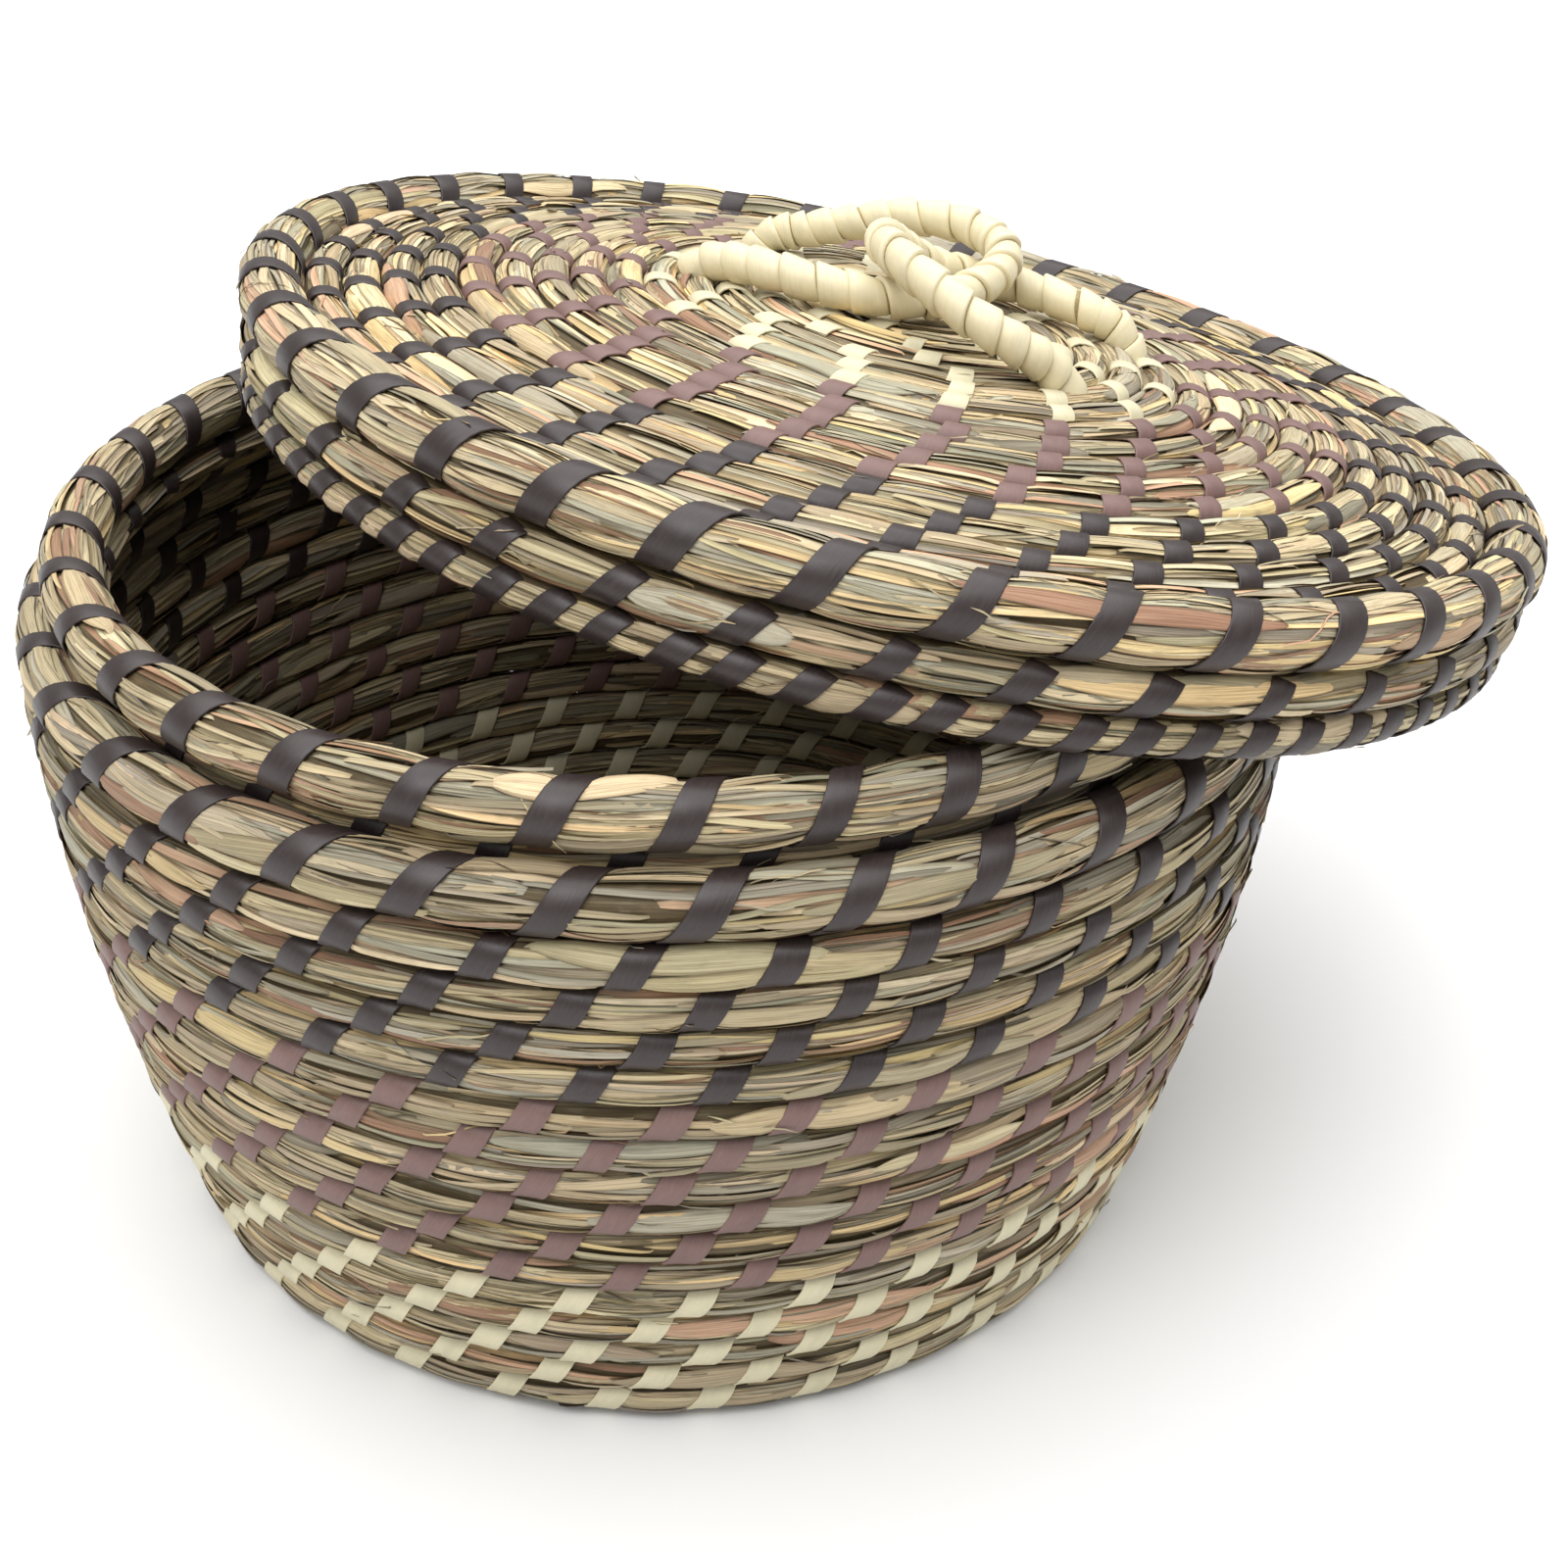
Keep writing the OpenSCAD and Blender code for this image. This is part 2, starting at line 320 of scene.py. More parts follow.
STRAP_FINISHES = {
    Tone.DARK: StrapFinish("dark_strap", linear(47, 38, 37), linear(80, 67, 65), 0.42),
    Tone.MAUVE: StrapFinish("mauve_strap", linear(118, 91, 86), linear(146, 118, 110), 0.52),
    Tone.IVORY: StrapFinish("ivory_strap", linear(208, 200, 168), linear(224, 217, 188), 0.5),
    Tone.STRIP: StrapFinish("ivory_strip", linear(222, 211, 176), linear(238, 229, 198), 0.45),
}


# ---------------------------------------------------------------- meshes


@dataclass
class Patch:
    """Points, faces, a map and a tint of one mesh.

    The tint's fourth part is the place across the blade, from 0 to 1.
    """

    points: np.ndarray
    faces: np.ndarray
    uv: np.ndarray
    tint: np.ndarray


def strips(points: np.ndarray, uv: np.ndarray, tint: np.ndarray, ring: bool = False) -> Patch:
    """Joins many grids of points into one patch.

    Each grid is (stations, across); neighbouring points make one four-cornered face. With ring,
    the last column also joins the first, so that the strip is a closed tube.

    Args:
        points: (count, stations, across, 3).
        uv: (count, stations, across, 2).
        tint: (count, 3), one colour per grid.
        ring: whether the section is closed.
    Returns:
        The patch.
    """
    n, s, a, _ = points.shape
    side = np.broadcast_to(np.linspace(0.0, 1.0, a) if not ring else np.full(a, 0.5), (n, s, a)).reshape(-1, 1)
    index = np.arange(n * s * a).reshape(n, s, a)
    if ring:
        left, right = index, np.roll(index, -1, axis=2)
    else:
        left, right = index[:, :, :-1], index[:, :, 1:]
    faces = np.stack([left[:, :-1], right[:, :-1], right[:, 1:], left[:, 1:]], -1).reshape(-1, 4)
    tints = np.hstack([np.repeat(tint, s * a, axis=0), side])
    return Patch(points.reshape(-1, 3), faces, uv.reshape(-1, 2), tints)


def make_piece(
    name: str, patches: list[Patch], material: bpy.types.Material, body: str, nodes: list[str]
) -> bpy.types.Object:
    """Writes patches into one object, rides it on its body and hides the CAD nodes it stands for.

    Args:
        name: the object's name.
        patches: the parts of the mesh, in millimetres.
        material: its finish.
        body: the CAD body it moves with.
        nodes: the CAD nodes it replaces.
    Returns:
        The object.
    """
    offsets = np.cumsum([0] + [len(p.points) for p in patches])
    points = np.concatenate([p.points for p in patches]) * MM
    faces = np.concatenate([p.faces + o for p, o in zip(patches, offsets)])
    uv = np.concatenate([p.uv for p in patches])
    tint = np.concatenate([p.tint for p in patches])
    mesh = bpy.data.meshes.new(name)
    mesh.vertices.add(len(points))
    mesh.vertices.foreach_set("co", points.astype(np.float32).ravel())
    mesh.loops.add(len(faces) * 4)
    mesh.loops.foreach_set("vertex_index", faces.astype(np.int32).ravel())
    mesh.polygons.add(len(faces))
    mesh.polygons.foreach_set("loop_start", np.arange(0, len(faces) * 4, 4, dtype=np.int32))
    mesh.polygons.foreach_set("use_smooth", np.ones(len(faces), bool))
    layer = mesh.uv_layers.new(name="blade")
    layer.data.foreach_set("uv", uv[faces.ravel()].astype(np.float32).ravel())
    colour = mesh.attributes.new("tint", "FLOAT_COLOR", "POINT")
    colour.data.foreach_set("color", tint.astype(np.float32).ravel())
    mesh.update(calc_edges=True)
    mesh.validate()
    mesh.materials.append(material)
    piece = bpy.data.objects.new(name, mesh)
    bpy.context.scene.collection.objects.link(piece)
    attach(piece, body)
    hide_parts(*nodes)
    LOG.info("%s: %d faces on %s", name, len(faces), body)
    return piece


# ---------------------------------------------------------------- grass and straps


GRASS_TINTS = np.array(
    [
        linear(187, 171, 136),
        linear(170, 157, 129),
        linear(206, 190, 154),
        linear(160, 153, 131),
        linear(145, 137, 119),
        linear(216, 191, 141),
        linear(190, 155, 126),
        linear(152, 119, 94),
        linear(173, 167, 147),
    ]
)
GRASS_SHARE = np.array([0.23, 0.18, 0.18, 0.13, 0.07, 0.07, 0.05, 0.03, 0.06])


@dataclass(frozen=True)
class Blades:
    """One layer of blades: how much of the bundle it covers and how long and wide its blades are."""

    share: float
    width: tuple[float, float]
    length: tuple[float, float]
    layer: float
    across: int = 2
    drift: float = 0.2
    fray: float = 0.0


LAYERS = (
    Blades(share=1.5, width=(2.0, 3.3), length=(55, 115), layer=-0.12),
    Blades(share=1.4, width=(0.7, 1.9), length=(40, 95), layer=0.16, drift=0.26),
    Blades(share=0.34, width=(2.8, 6.0), length=(26, 60), layer=0.30, across=4, drift=0.16),
    Blades(share=0.012, width=(0.3, 0.5), length=(8, 18), layer=0.35, drift=0.4, fray=1.3),
)

# Lengths in mm.
GOLDEN = 0.61803  # step round the section from blade to blade, as a share of a full turn
BLADE_STEP = 2.3  # between stations along a blade
CORE_STEP = 3.4  # between stations along a core
INSET = 0.42  # how far a bundle lies inside its coil's radius
PINCH = 0.085  # share of the radius lost in the middle of a strap
PINCH_REACH = 3.4  # how far from the strap's middle the pinch has mostly gone
UNDER_STRAP = 0.36  # how far inside the coil's radius a blade stays where a strap covers it
CORE_DEPTH = 0.45  # how far a core lies under the girth
CORE_LEAST = 0.95  # the most that a core lies inside the coil's radius
FLOOR_GAP = 0.05  # the least height of anything in the basket


def dive(t: np.ndarray) -> np.ndarray:
    """How far an end has dived at t (0 to 1 along a strip): (|2t - 1| - 0.9) / 0.1, between 0 and 1."""
    return np.clip((np.abs(2 * t - 1) - 0.90) / 0.10, 0, 1)


@dataclass
class Place:
    """Where a family of turns stands: a lean about a level axis, then a shift."""

    shift: Point = (0.0, 0.0, 0.0)
    tilt: float = 0.0
    low_side: float = 0.0

    def matrix(self) -> np.ndarray:
        """Turn by the low side, lean about +Y, turn back.

        Returns:
            The 3 by 3 rotation.
        """
        t, p = math.radians(self.tilt), math.radians(self.low_side)
        turn = np.array([[math.cos(p), -math.sin(p), 0], [math.sin(p), math.cos(p), 0], [0, 0, 1]])
        lean = np.array([[math.cos(t), 0, math.sin(t)], [0, 1, 0], [-math.sin(t), 0, math.cos(t)]])
        return turn @ lean @ turn.T

    def carry(self, points: np.ndarray) -> np.ndarray:
        """Points from the family's own frame to the row frame."""
        return points @ self.matrix().T + np.array(self.shift)


@dataclass
class Turn:
    """One turn of the coil: a ring of bundled blades with straps sewn round it.

    ring, height and radius place the ring and give the coil's own radius. straps, phase and tone
    say how many straps there are, where the first one stands and what colour they are. A strap
    begins and ends opposite middle, crosses its own place at zero, and leans by slope. square and
    lie press the section a little square and turn it. painted_light lightens the grass tint as
    painted light, for turns that face a brighter light; lowest is the least height of any point,
    and joins lists the directions of the neighbours.
    """

    ring: float
    height: float
    radius: float
    straps: int
    phase: float
    tone: Tone
    middle: float = math.pi / 2
    zero: float = 0.09
    slope: float = 0.5
    width: float = 5.2
    place: Place = field(default_factory=Place)
    seed: int = 1
    square: float = 2.0
    lie: float = 0.0
    painted_light: float = 1.0
    lowest: float = -math.inf
    joins: tuple[float, ...] = ()

    def section(self, phi: np.ndarray) -> np.ndarray:
        """How far the section stands out at phi, a circle pressed a little square.

        (|cos|^n + |sin|^n)^(-1/n), with n as square.
        """
        c, s = np.abs(np.cos(phi - self.lie)), np.abs(np.sin(phi - self.lie))
        return (c**self.square + s**self.square) ** (-1 / self.square)

    def at(self, theta: np.ndarray, phi: np.ndarray, rho: np.ndarray) -> np.ndarray:
        """Point on the turn: rho out from the coil's centre line, phi round its section, theta round the ring.

        x = (ring + rho cos phi) cos theta, y = (ring + rho cos phi) sin theta, z = height + rho sin phi.

        Args:
            theta: angle round the ring.
            phi: angle round the coil's section.
            rho: distance from the coil's centre line, before the section is pressed square.
        Returns:
            The points in the row frame.
        """
        rho = rho * self.section(phi)
        out = self.ring + rho * np.cos(phi)
        high = np.maximum(self.height + rho * np.sin(phi), self.lowest)
        local = np.stack([out * np.cos(theta), out * np.sin(theta), high], -1)
        return self.place.carry(local)

    def jitter(self) -> np.ndarray:
        """Small uneven spacing of the straps along the coil, in millimetres."""
        return np.random.default_rng(5000 + self.seed).normal(0, 0.55, self.straps)

    def offset(self, theta: np.ndarray, phi: np.ndarray) -> np.ndarray:
        """Distance from a point of the surface to the middle line of the nearest strap.

        A strap's line is a helix: it moves slope * radius * (phi - zero) along the coil.

        Args:
            theta: angle round the ring.
            phi: angle round the coil's section.
        Returns:
            The distance in millimetres, with its sign.
        """
        gap = TAU * self.ring / self.straps
        turned = np.mod(phi - self.middle + math.pi, TAU) - math.pi + self.middle - self.zero
        place = (theta - self.phase) * self.ring - self.slope * self.radius * turned
        nearest = np.round(place / gap)
        shift = self.jitter()[np.mod(nearest, self.straps).astype(int)]
        return (place - gap * nearest - shift) / math.sqrt(1 + self.slope**2)

    def girth(self, off: np.ndarray) -> np.ndarray:
        """Bundle radius: full between straps and pinched where a strap crosses, as a bell curve of off.

        Args:
            off: distance from the nearest strap's middle line.
        Returns:
            The radius there.
        """
        gap = TAU * self.ring / self.straps
        bulge = 0.03 * (1 - np.cos(TAU * off / gap))
        return (self.radius - INSET) * (0.98 + bulge - PINCH * np.exp(-((off / PINCH_REACH) ** 2)))

    def blades(self, rng: np.random.Generator, kind: Blades) -> Patch:
        """A layer of grass blades that run along the coil.

        Each blade follows the bundle's girth, wanders a little round the section, has one edge lifted
        over its neighbour, stays under the straps, and dives into the bundle at both ends. A frayed
        blade leaves the bundle towards its far end instead.

        Args:
            rng: seeded random source.
            kind: the layer.
        Returns:
            The blades as one patch.
        """
        area = TAU * self.ring * TAU * self.radius
        count = max(4, int(kind.share * area / (sum(kind.width) / 2 * sum(kind.length) / 2)))
        stations = int(sum(kind.length) / 2 / BLADE_STEP) + 3
        wide = rng.uniform(*kind.width, count)[:, None, None]
        long = rng.uniform(*kind.length, count)[:, None, None]
        start = rng.uniform(0, TAU, count)[:, None, None]
        phi0 = ((np.arange(count) * GOLDEN) % 1.0 * TAU + rng.normal(0, 0.1, count))[:, None, None]
        turn = rng.normal(0.10, kind.drift, count)[:, None, None]
        sway = rng.normal(0, 0.07, count)[:, None, None]
        lift = rng.normal(0, 0.13, count)[:, None, None]
        rise = rng.uniform(-0.20, 0.20, count)[:, None, None]
        t = np.linspace(0, 1, stations)[None, :, None]
        b = np.linspace(-1, 1, kind.across)[None, None, :]
        theta = start + t * long / self.ring
        taper = 1 - (0.6 * np.abs(2 * t - 1) ** 6 if kind.across == 2 else 0.96 * np.abs(2 * t - 1) ** 3.5)
        centre = phi0 + turn * (t - 0.5) * 2 + sway * np.sin(TAU * t * 1.5 + phi0)
        phi = centre + b * wide * taper / (2 * self.radius)
        off = self.offset(theta + 0 * b, phi)
        rho = self.girth(off) + kind.layer + rise + lift * b + 0.08 * np.sin(9 * t + phi0 * 5)
        rho = rho + (0.22 * (1 - b**2) if kind.across > 2 else 0)
        clear = np.clip((np.abs(off) - self.width / 2 - 0.25) / 2.2, 0, 1)
        rho = np.minimum(rho, self.radius - UNDER_STRAP + 2.6 * clear)
        if kind.fray:
            loose = kind.fray * rng.uniform(0.2, 1.6, count)[:, None, None]
            rho = rho + loose * np.clip(t - 0.35, 0, 1) ** 1.5
            rho = rho - 1.0 * np.clip(0.1 - t, 0, 1) * 10
        else:
            rho = rho - 1.2 * dive(t) ** 2
        points = self.at(theta + 0 * phi, phi, rho)
        picked = rng.choice(len(GRASS_TINTS), count, p=GRASS_SHARE)
        tint = GRASS_TINTS[picked] * rng.uniform(0.78, 1.22, (count, 1))
        # painted light: the tint is lightened on turns that face a brighter light
        tint = tint * rng.uniform(0.96, 1.04, (count, 3)) * self.painted_light
        shift = (np.arange(count) * 7.31)[:, None, None]
        u = shift + (b + 1) * wide / 2 + 0 * t
        v = t * long + 0 * b + shift * 0.37
        return strips(points, np.stack([u, v], -1), tint)

    def core(self, around: int = 12) -> Patch:
        """The inside of the bundle: a closed tube a little under the blades, coloured dark brown as painted shade.

        Where a turn lies against its neighbours the tube swells to meet theirs, as cos to the power 8.

        Args:
            around: points round the section.
        Returns:
            The tube.
        """
        stations = max(24, int(TAU * self.ring / CORE_STEP))
        theta = np.linspace(0, TAU, stations + 1)[None, :, None]
        phi = self.lie + np.linspace(0, TAU, around, endpoint=False)[None, None, :]
        girth = self.girth(self.offset(theta + 0 * phi, phi + 0 * theta))
        rho = np.maximum(girth - CORE_DEPTH, self.radius - CORE_LEAST)
        for toward in self.joins:
            rho = rho + (self.radius + 0.05 - rho) * np.clip(np.cos(phi - toward), 0, 1) ** 8
        points = self.at(theta + 0 * phi, phi + 0 * theta, rho)
        uv = np.stack([phi * self.radius + 0 * theta, theta * self.ring + 0 * phi], -1)
        # dark brown painted shade: it shows through the gaps as the shaded grass inside the bundle and between
        # turns
        return strips(points, uv, np.array([linear(92, 78, 52)]), ring=True)

    def sewing(self, rng: np.random.Generator) -> Patch:
        """The straps: flat bands that wind once round the coil, leaning as a helix does.

        The band's section is a closed shape: flat on top, with crisp edges turned down into the grass.
        Both ends dive into the valley beside the coil.

        Args:
            rng: seeded random source.
        Returns:
            All the straps of the turn.
        """
        n = self.straps
        t = np.linspace(0, 1, 21)[None, :, None]
        across = np.array([-1.0, -0.985, -0.93, 0.93, 0.985, 1.0])[None, None, :]
        lift = np.array([-0.34, -0.03, 0.03, 0.03, -0.03, -0.34])[None, None, :]
        wide = (self.width * rng.uniform(0.93, 1.07, n))[:, None, None]
        bend = rng.normal(0, 0.25, n)[:, None, None]
        size = math.sqrt(1 + self.slope**2)
        sweep = TAU * 0.98
        phi_c = self.middle + (t - 0.5) * sweep
        along = self.slope * self.radius * (phi_c - self.zero) + bend * np.sin(TAU * t)
        along = along + self.jitter()[:, None, None]
        off = across * wide / 2
        phi = phi_c - off * self.slope / size / self.radius
        theta = self.phase + TAU * np.arange(n)[:, None, None] / n + (along + off / size) / self.ring
        rho = self.radius - 0.02 + lift - 0.8 * dive(t) ** 2 + 0 * theta
        points = self.at(theta, phi + 0 * theta, rho)
        shift = (np.arange(n) * 11.7 + self.seed * 3.1)[:, None, None]
        u = shift + off + 0 * t
        v = t * sweep * self.radius * size + 0 * off + shift * 0.7
        return strips(points, np.stack([u, v], -1), np.ones((n, 3)), ring=True)


def grass_of(turn: Turn) -> list[Patch]:
    """All the grass of one turn: the core and every layer of blades."""
    rng = np.random.default_rng(turn.seed)
    return [turn.core()] + [turn.blades(rng, kind) for kind in LAYERS]


def join(turns: list[Turn]) -> None:
    """Tells each turn in which direction its neighbours lie, so that their cores can meet.

    Args:
        turns: turns in order, each beside the one before.
    """
    for one, other in zip(turns, turns[1:]):
        toward = math.atan2(other.height - one.height, other.ring - one.ring)
        one.joins += (toward,)
        other.joins += (toward + math.pi,)


def straps_on(ring: float, gap: float = 20.0) -> int:
    """Straps on a flat turn: one every gap millimetres, four at least."""
    return max(4, round(TAU * ring / gap))


@dataclass
class Basket:
    """The basket's body: rim, shoulder, wall and base turns."""

    height: float = 146.0
    radius: float = 125.5
    foot_inset: float = 21.0
    wall_curve: float = 1.8
    wall_turns: int = 15
    base_turns: int = 11
    base_height: float = 4.05
    pitch: float = 8.0
    rim_r: float = 5.8
    under_r: float = 3.2
    under_ring: float = 111.6
    under_height: float = 131.45
    set_in: float = 11.7
    rim_drop: float = 18.5
    straps: int = 34
    step: float = math.radians(-4.75)

    def wall(self, k: int) -> tuple[float, float]:
        """Ring radius and height of wall turn k.

        The wall draws in by foot_inset times (1 - height / shoulder height) to the power wall_curve.

        Args:
            k: the turn's number, 1 at the top.
        Returns:
            The ring's radius and its height.
        """
        shoulder = self.height - self.rim_drop
        turn_r = self.pitch / 2 - 0.02
        first = shoulder - self.rim_r - turn_r - 0.05
        z = first - (k - 1) * (first - 5.65) / (self.wall_turns - 1)
        return self.radius - turn_r - self.foot_inset * (1 - z / shoulder) ** self.wall_curve, z

    def turns(self) -> list[tuple[str, Turn]]:
        """Every turn above the base.

        Returns:
            The name of each turn's CAD node, and the turn.
        """
        n, dark = self.straps, Tone.DARK
        rim = Turn(
            self.radius - self.set_in, self.height - self.rim_r, self.rim_r, n, 0.0, dark,
            middle=1.33, zero=0.6, slope=0.42, width=5.3,
        )
        under = Turn(
            self.under_ring, self.under_height, self.under_r, n, self.step, dark,
            middle=0.44, zero=0.44, slope=0.5, width=4.8,
        )
        shoulder = Turn(
            self.radius - self.rim_r, self.height - self.rim_drop, self.rim_r, n, 2.02 * self.step, dark,
            middle=math.pi / 2, zero=0.17, slope=0.55, width=5.3,
        )
        made = [("rim_coil", rim), ("rim_under_coil", under), ("shoulder_coil", shoulder)]
        for k in range(1, self.wall_turns + 1):
            ring, z = self.wall(k)
            tone = dark if k <= 4 else Tone.MAUVE if k <= 10 else Tone.IVORY
            phase = (k + 2.15) * self.step
            above = self.wall(k - 1) if k > 1 else (self.radius - self.rim_r, self.height - self.rim_drop)
            lie = math.atan2(above[1] - z, above[0] - ring)
            turn = Turn(ring, z, self.pitch / 2, n, phase, tone, square=2.8, lie=lie)
            made.append((f"wall_coil_{k:02d}", turn))
        for i, (_, turn) in enumerate(made):
            turn.seed = 11 + i
        return made

    def base(self) -> list[Turn]:
        """The flat base turns.

        Returns:
            The turns, from the heel inward.
        """
        first = self.wall(self.wall_turns)[0] - self.pitch
        made = []
        for k in range(self.base_turns):
            ring = first - k * self.pitch
            phase = -math.pi / 2 - 7.0 * (k + 1) / ring
            made.append(
                Turn(
                    ring, self.base_height, self.pitch / 2 + 0.1, straps_on(ring), phase, Tone.IVORY,
                    middle=0.0, zero=-math.pi / 2, slope=0.3, width=5.0 if ring > 25 else 3.2,
                    seed=60 + k, square=3.0,
                )
            )
        return made

    def build(self, grass: bpy.types.Material, straps: dict[Tone, bpy.types.Material]) -> None:
        """Makes the basket's pieces.

        Args:
            grass: the grass material.
            straps: tone to strap material.
        """
        by_tone: dict[Tone, list[Patch]] = {}
        rim: list[Patch] = []
        upper, base = self.turns(), self.base()
        centre = Turn(
            5.0, self.base_height, 4.6, 3, 0.0, Tone.IVORY,
            middle=0.0, zero=-math.pi / 2, slope=0.4, width=3.0, seed=90,
        )
        whole = [turn for _, turn in upper] + base + [centre]
        join(whole)
        for turn in whole:
            turn.lowest = FLOOR_GAP
        for node, turn in upper:
            make_piece(f"{node}_grass", grass_of(turn), grass, "basket", [node])
            sewn = turn.sewing(np.random.default_rng(500 + turn.seed))
            (by_tone.setdefault(turn.tone, []) if node.startswith("wall") else rim).append(sewn)
        make_piece("rim_sewing", rim, straps[Tone.DARK], "basket", ["rim_straps"])
        for tone, patches in by_tone.items():
            word = tone.name.lower()
            nodes = [f"wall_straps_{word}"]
            make_piece(f"wall_sewing_{word}", patches, straps[tone], "basket", nodes)
        for name, part in (("base_grass_outer", base[:3]), ("base_grass_inner", base[3:])):
            grown = [patch for turn in part for patch in grass_of(turn)]
            make_piece(name, grown, grass, "basket", ["base_coil"])
        make_piece("base_centre_grass", grass_of(centre), grass, "basket", ["base_centre"])
        sewn = [t.sewing(np.random.default_rng(700 + t.seed)) for t in base + [centre]]
        make_piece("base_sewing", sewn, straps[Tone.IVORY], "basket", ["base_straps"])


@dataclass
class Lid:
    """The loose lid: edge, skirt and hem coils, and the domed spiral of turns."""

    radius: float = 132.0
    edge_r: float = 6.0
    dome: float = 10.5
    pitch: float = 7.2
    count: int = 16
    straps: int = 37
    place: Place = field(default_factory=lambda: Place((45.7, 27.3, 161.3), 10.7, 24.5))

    def ring(self, k: int) -> float:
        """Ring radius of top turn k, counted from the edge inward."""
        return self.radius - self.edge_r - 9.75 - (k - 1) * self.pitch

    def rise(self, ring: float) -> float:
        """Height of a top turn: the dome falls off as the square of the ring radius."""
        return -0.4 + self.dome * (1 - (ring / self.ring(1)) ** 2)

    def top_turns(self) -> list[Turn]:
        """The turns of the lid's top.

        Returns:
            The turns, from the edge inward.
        """
        made = []
        for k in range(1, self.count + 1):
            ring = self.ring(k)
            tone = Tone.DARK if k <= 4 else Tone.MAUVE if k <= 9 else Tone.IVORY
            phase = -math.pi / 2 + math.radians(5.2) + math.log(self.ring(1) / ring)
            lie = math.atan2(-2 * self.dome * ring / self.ring(1) ** 2, 1.0)
            made.append(
                Turn(
                    ring, self.rise(ring), self.pitch / 2 + 0.1, straps_on(ring), phase, tone,
                    middle=0.0, zero=math.pi / 2, slope=0.3, width=5.0 if ring > 60 else 4.6 if ring > 25 else 3.4,
                    # the lightening factor here is painted light for the lid's upward-facing top, not a known
                    # difference in the grass
                    place=self.place, seed=120 + k, square=2.5, lie=lie, painted_light=1.28,
                )
            )
        return made

    def side_turns(self) -> dict[str, Turn]:
        """The thick edge coil and the two coils of the skirt.

        Returns:
            The turns by the names of their CAD nodes.
        """
        place, dark, n = self.place, Tone.DARK, self.straps
        edge = Turn(
            # the edge and the skirt are lightened as painted light, the edge that faces up more than the skirt
            self.radius - self.edge_r, 0.0, self.edge_r, n, 0.0, dark,
            middle=1.67, zero=0.8, slope=0.45, width=5.6, place=place, seed=140, painted_light=1.25,
        )
        skirt = Turn(
            self.radius - 5.0, -10.2, 4.0, n, -0.085, dark,
            middle=-1.6, zero=0.1, slope=0.62, width=4.9, place=place, seed=141, painted_light=1.1,
        )
        hem = Turn(
            self.radius - 5.6, -17.85, 3.65, 2 * n, -0.17, dark,
            middle=-1.6, zero=0.0, slope=0.62, width=4.6, place=place, seed=142,
        )
        return {"lid_edge_coil": edge, "lid_skirt_coil": skirt, "lid_hem_coil": hem}

    def build(self, grass: bpy.types.Material, straps: dict[Tone, bpy.types.Material]) -> None:
        """Makes the lid's pieces.

        Args:
            grass: the grass material.
            straps: tone to strap material.
        """
        sides, top = self.side_turns(), self.top_turns()
        join(list(sides.values())[::-1] + top)
        for node, turn in sides.items():
            make_piece(f"{node}_grass", grass_of(turn), grass, "lid", [node])
        sewings = (
            ("lid_edge_sewing", ("lid_edge_coil", "lid_skirt_coil"), "lid_edge_straps"),
            ("lid_hem_sewing", ("lid_hem_coil",), "lid_hem_straps"),
        )
        for name, nodes, cad in sewings:
            sewn = [sides[n].sewing(np.random.default_rng(800 + sides[n].seed)) for n in nodes]
            make_piece(name, sewn, straps[Tone.DARK], "lid", [cad])
        for tone in (Tone.DARK, Tone.MAUVE, Tone.IVORY):
            word = tone.name.lower()
            turns = [t for t in top if t.tone is tone]
            grown = [patch for turn in turns for patch in grass_of(turn)]
            make_piece(f"lid_grass_{word}", grown, grass, "lid", [f"lid_coil_{word}"])
            sewn = [t.sewing(np.random.default_rng(900 + t.seed)) for t in turns]
            make_piece(f"lid_sewing_{word}", sewn, straps[tone], "lid", [f"lid_straps_{word}"])
        centre = Turn(
            2.2, self.rise(0) - 0.3, 3.4, 3, 0.0, Tone.IVORY,
            middle=0.0, zero=math.pi / 2, slope=0.4, width=3.0, place=self.place, seed=150,
        )
        make_piece("lid_centre_grass", grass_of(centre), grass, "lid", ["lid_centre"])


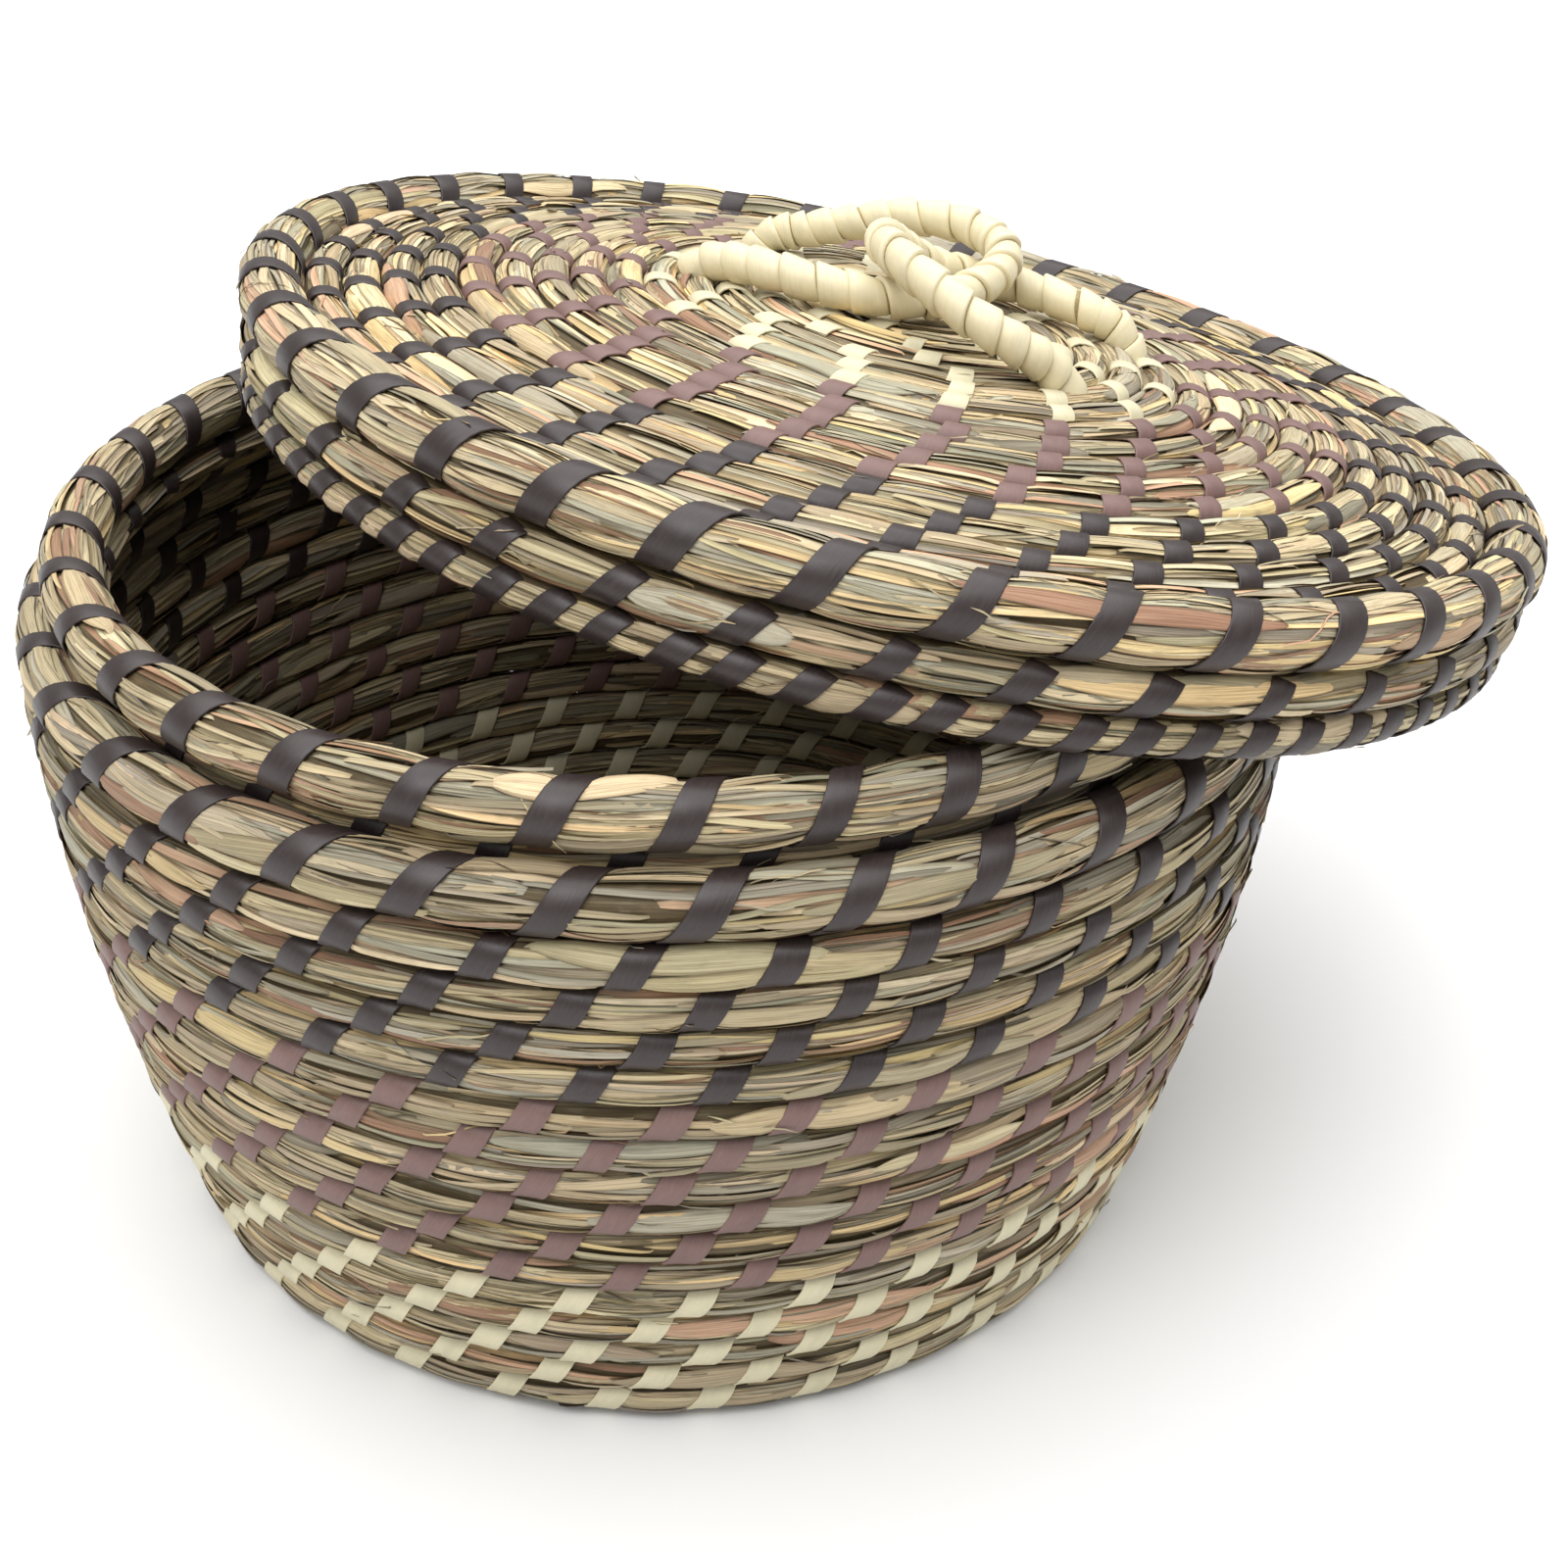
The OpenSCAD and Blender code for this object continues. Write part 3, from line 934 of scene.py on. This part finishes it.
@dataclass
class HandleLoop:
    """One of the two wrapped loops: a smooth path, a grass core and an ivory strip wound round it."""

    name: str
    knots: tuple[Point, ...]
    place: Place
    core_r: float = 3.1
    strip_w: float = 6.0
    turn_len: float = 6.0

    def path(self, u: np.ndarray) -> np.ndarray:
        """Smooth curve through the knots: each span is the cubic that shares its neighbours' slopes.

        Args:
            u: place along the curve, 0 to 1.
        Returns:
            The points at u.
        """
        p = np.array(self.knots, float)
        s = np.clip(u, 0, 1) * (len(p) - 1)
        i = np.minimum(s.astype(int), len(p) - 2)
        f = (s - i)[..., None]
        a, b, c, d = (p[np.clip(i + o, 0, len(p) - 1)] for o in (-1, 0, 1, 2))
        return 0.5 * (2 * b + (c - a) * f + (2 * a - 5 * b + 4 * c - d) * f**2 + (3 * b - a - 3 * c + d) * f**3)

    def frame(self, u: np.ndarray) -> tuple[np.ndarray, np.ndarray, np.ndarray]:
        """Directions along the path.

        Args:
            u: place along the curve, 0 to 1.
        Returns:
            Heading, level sideways direction, and the direction square to both.
        """
        h = self.path(np.minimum(1, u + 0.004)) - self.path(np.maximum(0, u - 0.004))
        h /= np.linalg.norm(h, axis=-1, keepdims=True)
        s = np.cross(h, np.array([0.0, 0.0, 1.0]))
        s /= np.linalg.norm(s, axis=-1, keepdims=True)
        return h, s, np.cross(s, h)

    def round_at(self, u: np.ndarray, angle: np.ndarray, r: np.ndarray) -> np.ndarray:
        """Point at distance r from the path at u, turned by angle round it."""
        _, s, n = self.frame(u)
        return self.path(u) + r[..., None] * (np.cos(angle)[..., None] * s + np.sin(angle)[..., None] * n)

    def length(self) -> float:
        """Length of the path."""
        return float(np.linalg.norm(np.diff(self.path(np.linspace(0, 1, 400)), axis=0), axis=1).sum())

    def core(self) -> Patch:
        """The grass cord inside.

        Returns:
            A closed tube with rounded ends.
        """
        t = np.linspace(0, 1, 90)
        a = np.linspace(0, TAU, 14, endpoint=False)
        u, angle = np.meshgrid(t, -a, indexing="ij")
        r = self.core_r * np.sqrt(np.clip(1 - np.abs(2 * u - 1) ** 60, 0.0, 1))
        points = self.place.carry(self.round_at(u, angle, r))
        uv = np.stack([-angle * self.core_r, u * self.length()], -1)
        return strips(points[None], uv[None], np.array([linear(168, 152, 110)]), ring=True)

    def strip(self, rng: np.random.Generator) -> Patch:
        """The strip: it winds once per turn_len, each turn lying over the edge of the last.

        Its near edge is raised over the turn before and its far edge lies on the core.

        Args:
            rng: seeded random source.
        Returns:
            The strip as a closed band.
        """
        total = self.length()
        turns = (total - self.strip_w) / self.turn_len
        n = int(turns * 20)
        t = np.linspace(0, 1, n)[:, None]
        across = np.array([-1.0, -0.97, -0.88, -0.3, 0.4, 0.9, 1.0])[None, :]
        lift = np.array([0.30, 0.92, 1.05, 0.90, 0.60, 0.25, 0.0])[None, :]
        knots = int(turns) + 2
        wobble = np.interp(np.linspace(0, turns, n), np.arange(knots), rng.normal(0, 0.35, knots))[:, None]
        along = t * (total - self.strip_w) + self.strip_w / 2 + across * self.strip_w / 2 + wobble
        angle = -TAU * turns * t + 0 * across
        u = np.clip(along / total, 0, 1)
        top = self.round_at(u, angle, self.core_r + lift + 0 * angle)
        low = self.round_at(u, angle, self.core_r - 0.1 + 0 * lift + 0 * angle)
        points = self.place.carry(np.concatenate([top, low[:, ::-1]], 1))
        across_mm = np.concatenate([across, across[:, ::-1]], 1) * self.strip_w / 2 + 0 * t
        uv = np.stack([across_mm, TAU * turns * t * self.core_r + 0 * across_mm], -1)
        return strips(points[None], uv[None], np.ones((1, 3)), ring=True)

    def build(self, grass: bpy.types.Material, strip_material: bpy.types.Material) -> None:
        """Makes the loop's two pieces.

        Args:
            grass: the cord's material.
            strip_material: the winding's material.
        """
        make_piece(f"{self.name}_cord", [self.core()], grass, "lid", [f"{self.name}_core"])
        rng = np.random.default_rng(1000 + len(self.name) + int(self.knots[0][0]) % 7)
        wound, slot = [self.strip(rng)], Tone.STRIP.value
        make_piece(f"{self.name}_winding", wound, strip_material, "lid", [f"{self.name}_wrap"])


LOOP_A = (
    (-47.5, 5.5, 8.5), (-42, 0.6, 14.6), (-33.4, -7.2, 17.2), (-21, -13.1, 17.8),
    (-7.6, -13.6, 17.8), (4.7, -7.2, 19.1), (13.9, 4.2, 22.1), (16.6, 16.4, 25.3),
    (10.1, 27.3, 26.8), (-2.2, 32.5, 25.5), (-13.5, 34.2, 21.5),
    (-23.8, 35.8, 17.4), (-29.5, 36.8, 15), (-34.5, 37.6, 9),
)
LOOP_B = (
    (30.5, -30, 8.5), (24.5, -32, 15), (17, -34.1, 18.5), (6.9, -32.5, 22),
    (-3.2, -24.3, 25.7), (-9.3, -11.4, 27.1), (-8.9, 0.7, 26.1), (-4.4, 10.3, 22.7),
    (2.7, 18.3, 19.1), (12.7, 22.5, 17.9), (24.8, 21.4, 17.8),
    (36.8, 15.7, 17), (43.5, 13.6, 14.8), (48.5, 11.5, 8.5),
)


# ---------------------------------------------------------------- studio


@dataclass
class Studio:
    """Floor, soft lights and the camera: camera lengths in mm, the lens for a sensor 36 mm wide."""

    elevation: float = 30.7
    distance: float = 460.0
    lens: float = 48.9825
    sensor: float = 36.0
    right: float = 25.0
    up: float = 6.9
    roll: float = 2.05
    focus_z: float = 70.0
    ceiling_watts: float = 118.0
    key_watts: float = 7.0
    sky: float = 0.45
    floor_half: float = 6.0
    floor_drop: float = 0.0004

    def camera(self) -> None:
        """Places the camera: it looks along -back, with right and up turned by the roll."""
        e, r = math.radians(self.elevation), math.radians(self.roll)
        back = np.array([0.0, -math.cos(e), math.sin(e)])
        side = np.cross(-back, [0.0, 0.0, 1.0])
        side /= np.linalg.norm(side)
        top = np.cross(side, -back)
        side, top = side * math.cos(r) + top * math.sin(r), top * math.cos(r) - side * math.sin(r)
        target = side * self.right + top * self.up + np.array([0, 0, self.focus_z])
        eye = (target + back * self.distance) * MM
        data = bpy.data.cameras.new("camera")
        data.sensor_width = self.sensor
        data.lens = self.lens
        data.clip_start = 0.01
        data.clip_end = 20.0
        camera = bpy.data.objects.new("camera", data)
        matrix = np.eye(4)
        matrix[:3, 0], matrix[:3, 1], matrix[:3, 2], matrix[:3, 3] = side, top, back, eye
        camera.matrix_world = Matrix(matrix.tolist())
        bpy.context.scene.collection.objects.link(camera)
        bpy.context.scene.camera = camera

    def light(self, name: str, spot: Point, aim: Point, size: float, power: float) -> None:
        """Adds one soft square lamp.

        Args:
            name: the lamp's name.
            spot: where it hangs, in metres.
            aim: the point it faces.
            size: its side.
            power: watts.
        """
        data = bpy.data.lights.new(name, "AREA")
        data.shape = "SQUARE"
        data.size = size
        data.energy = power
        lamp = bpy.data.objects.new(name, data)
        lamp.location = spot
        lamp.rotation_euler = (Vector(aim) - Vector(spot)).to_track_quat("-Z", "Y").to_euler()
        bpy.context.scene.collection.objects.link(lamp)

    def build(self) -> None:
        """Makes the studio."""
        self.camera()
        self.light("ceiling", (0.0, 0.5, 2.2), (0.0, 0.5, 0.0), 4.0, self.ceiling_watts)
        self.light("key", (-0.35, -0.8, 1.2), (0.0, 0.0, 0.08), 0.8, self.key_watts)
        world = bpy.data.worlds.new("studio")
        world.use_nodes = True
        background = world.node_tree.nodes["Background"]
        background.inputs["Color"].default_value = (1.0, 1.0, 1.0, 1.0)
        background.inputs["Strength"].default_value = self.sky
        bpy.context.scene.world = world
        bpy.context.scene.view_settings.view_transform = "Standard"
        side = self.floor_half
        corners = np.array([[-side, -side], [side, -side], [side, side], [-side, side]])
        mesh = bpy.data.meshes.new("floor")
        mesh.from_pydata(np.c_[corners, np.full(4, -self.floor_drop)].tolist(), [], [(0, 1, 2, 3)])
        mesh.materials.append(FloorFinish().material())
        floor = bpy.data.objects.new("floor", mesh)
        bpy.context.scene.collection.objects.link(floor)


def main() -> None:
    logging.basicConfig(level=logging.INFO, format="%(name)s: %(message)s")
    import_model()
    grass = SeagrassFinish().material()
    straps = {tone: finish.material() for tone, finish in STRAP_FINISHES.items()}
    Basket().build(grass, straps)
    lid = Lid()
    lid.build(grass, straps)
    HandleLoop("handle_loop_a", LOOP_A, lid.place).build(grass, straps[Tone.STRIP])
    HandleLoop("handle_loop_b", LOOP_B, lid.place).build(grass, straps[Tone.STRIP])
    Studio().build()
    bpy.context.view_layer.update()


if __name__ == "__main__":
    main()
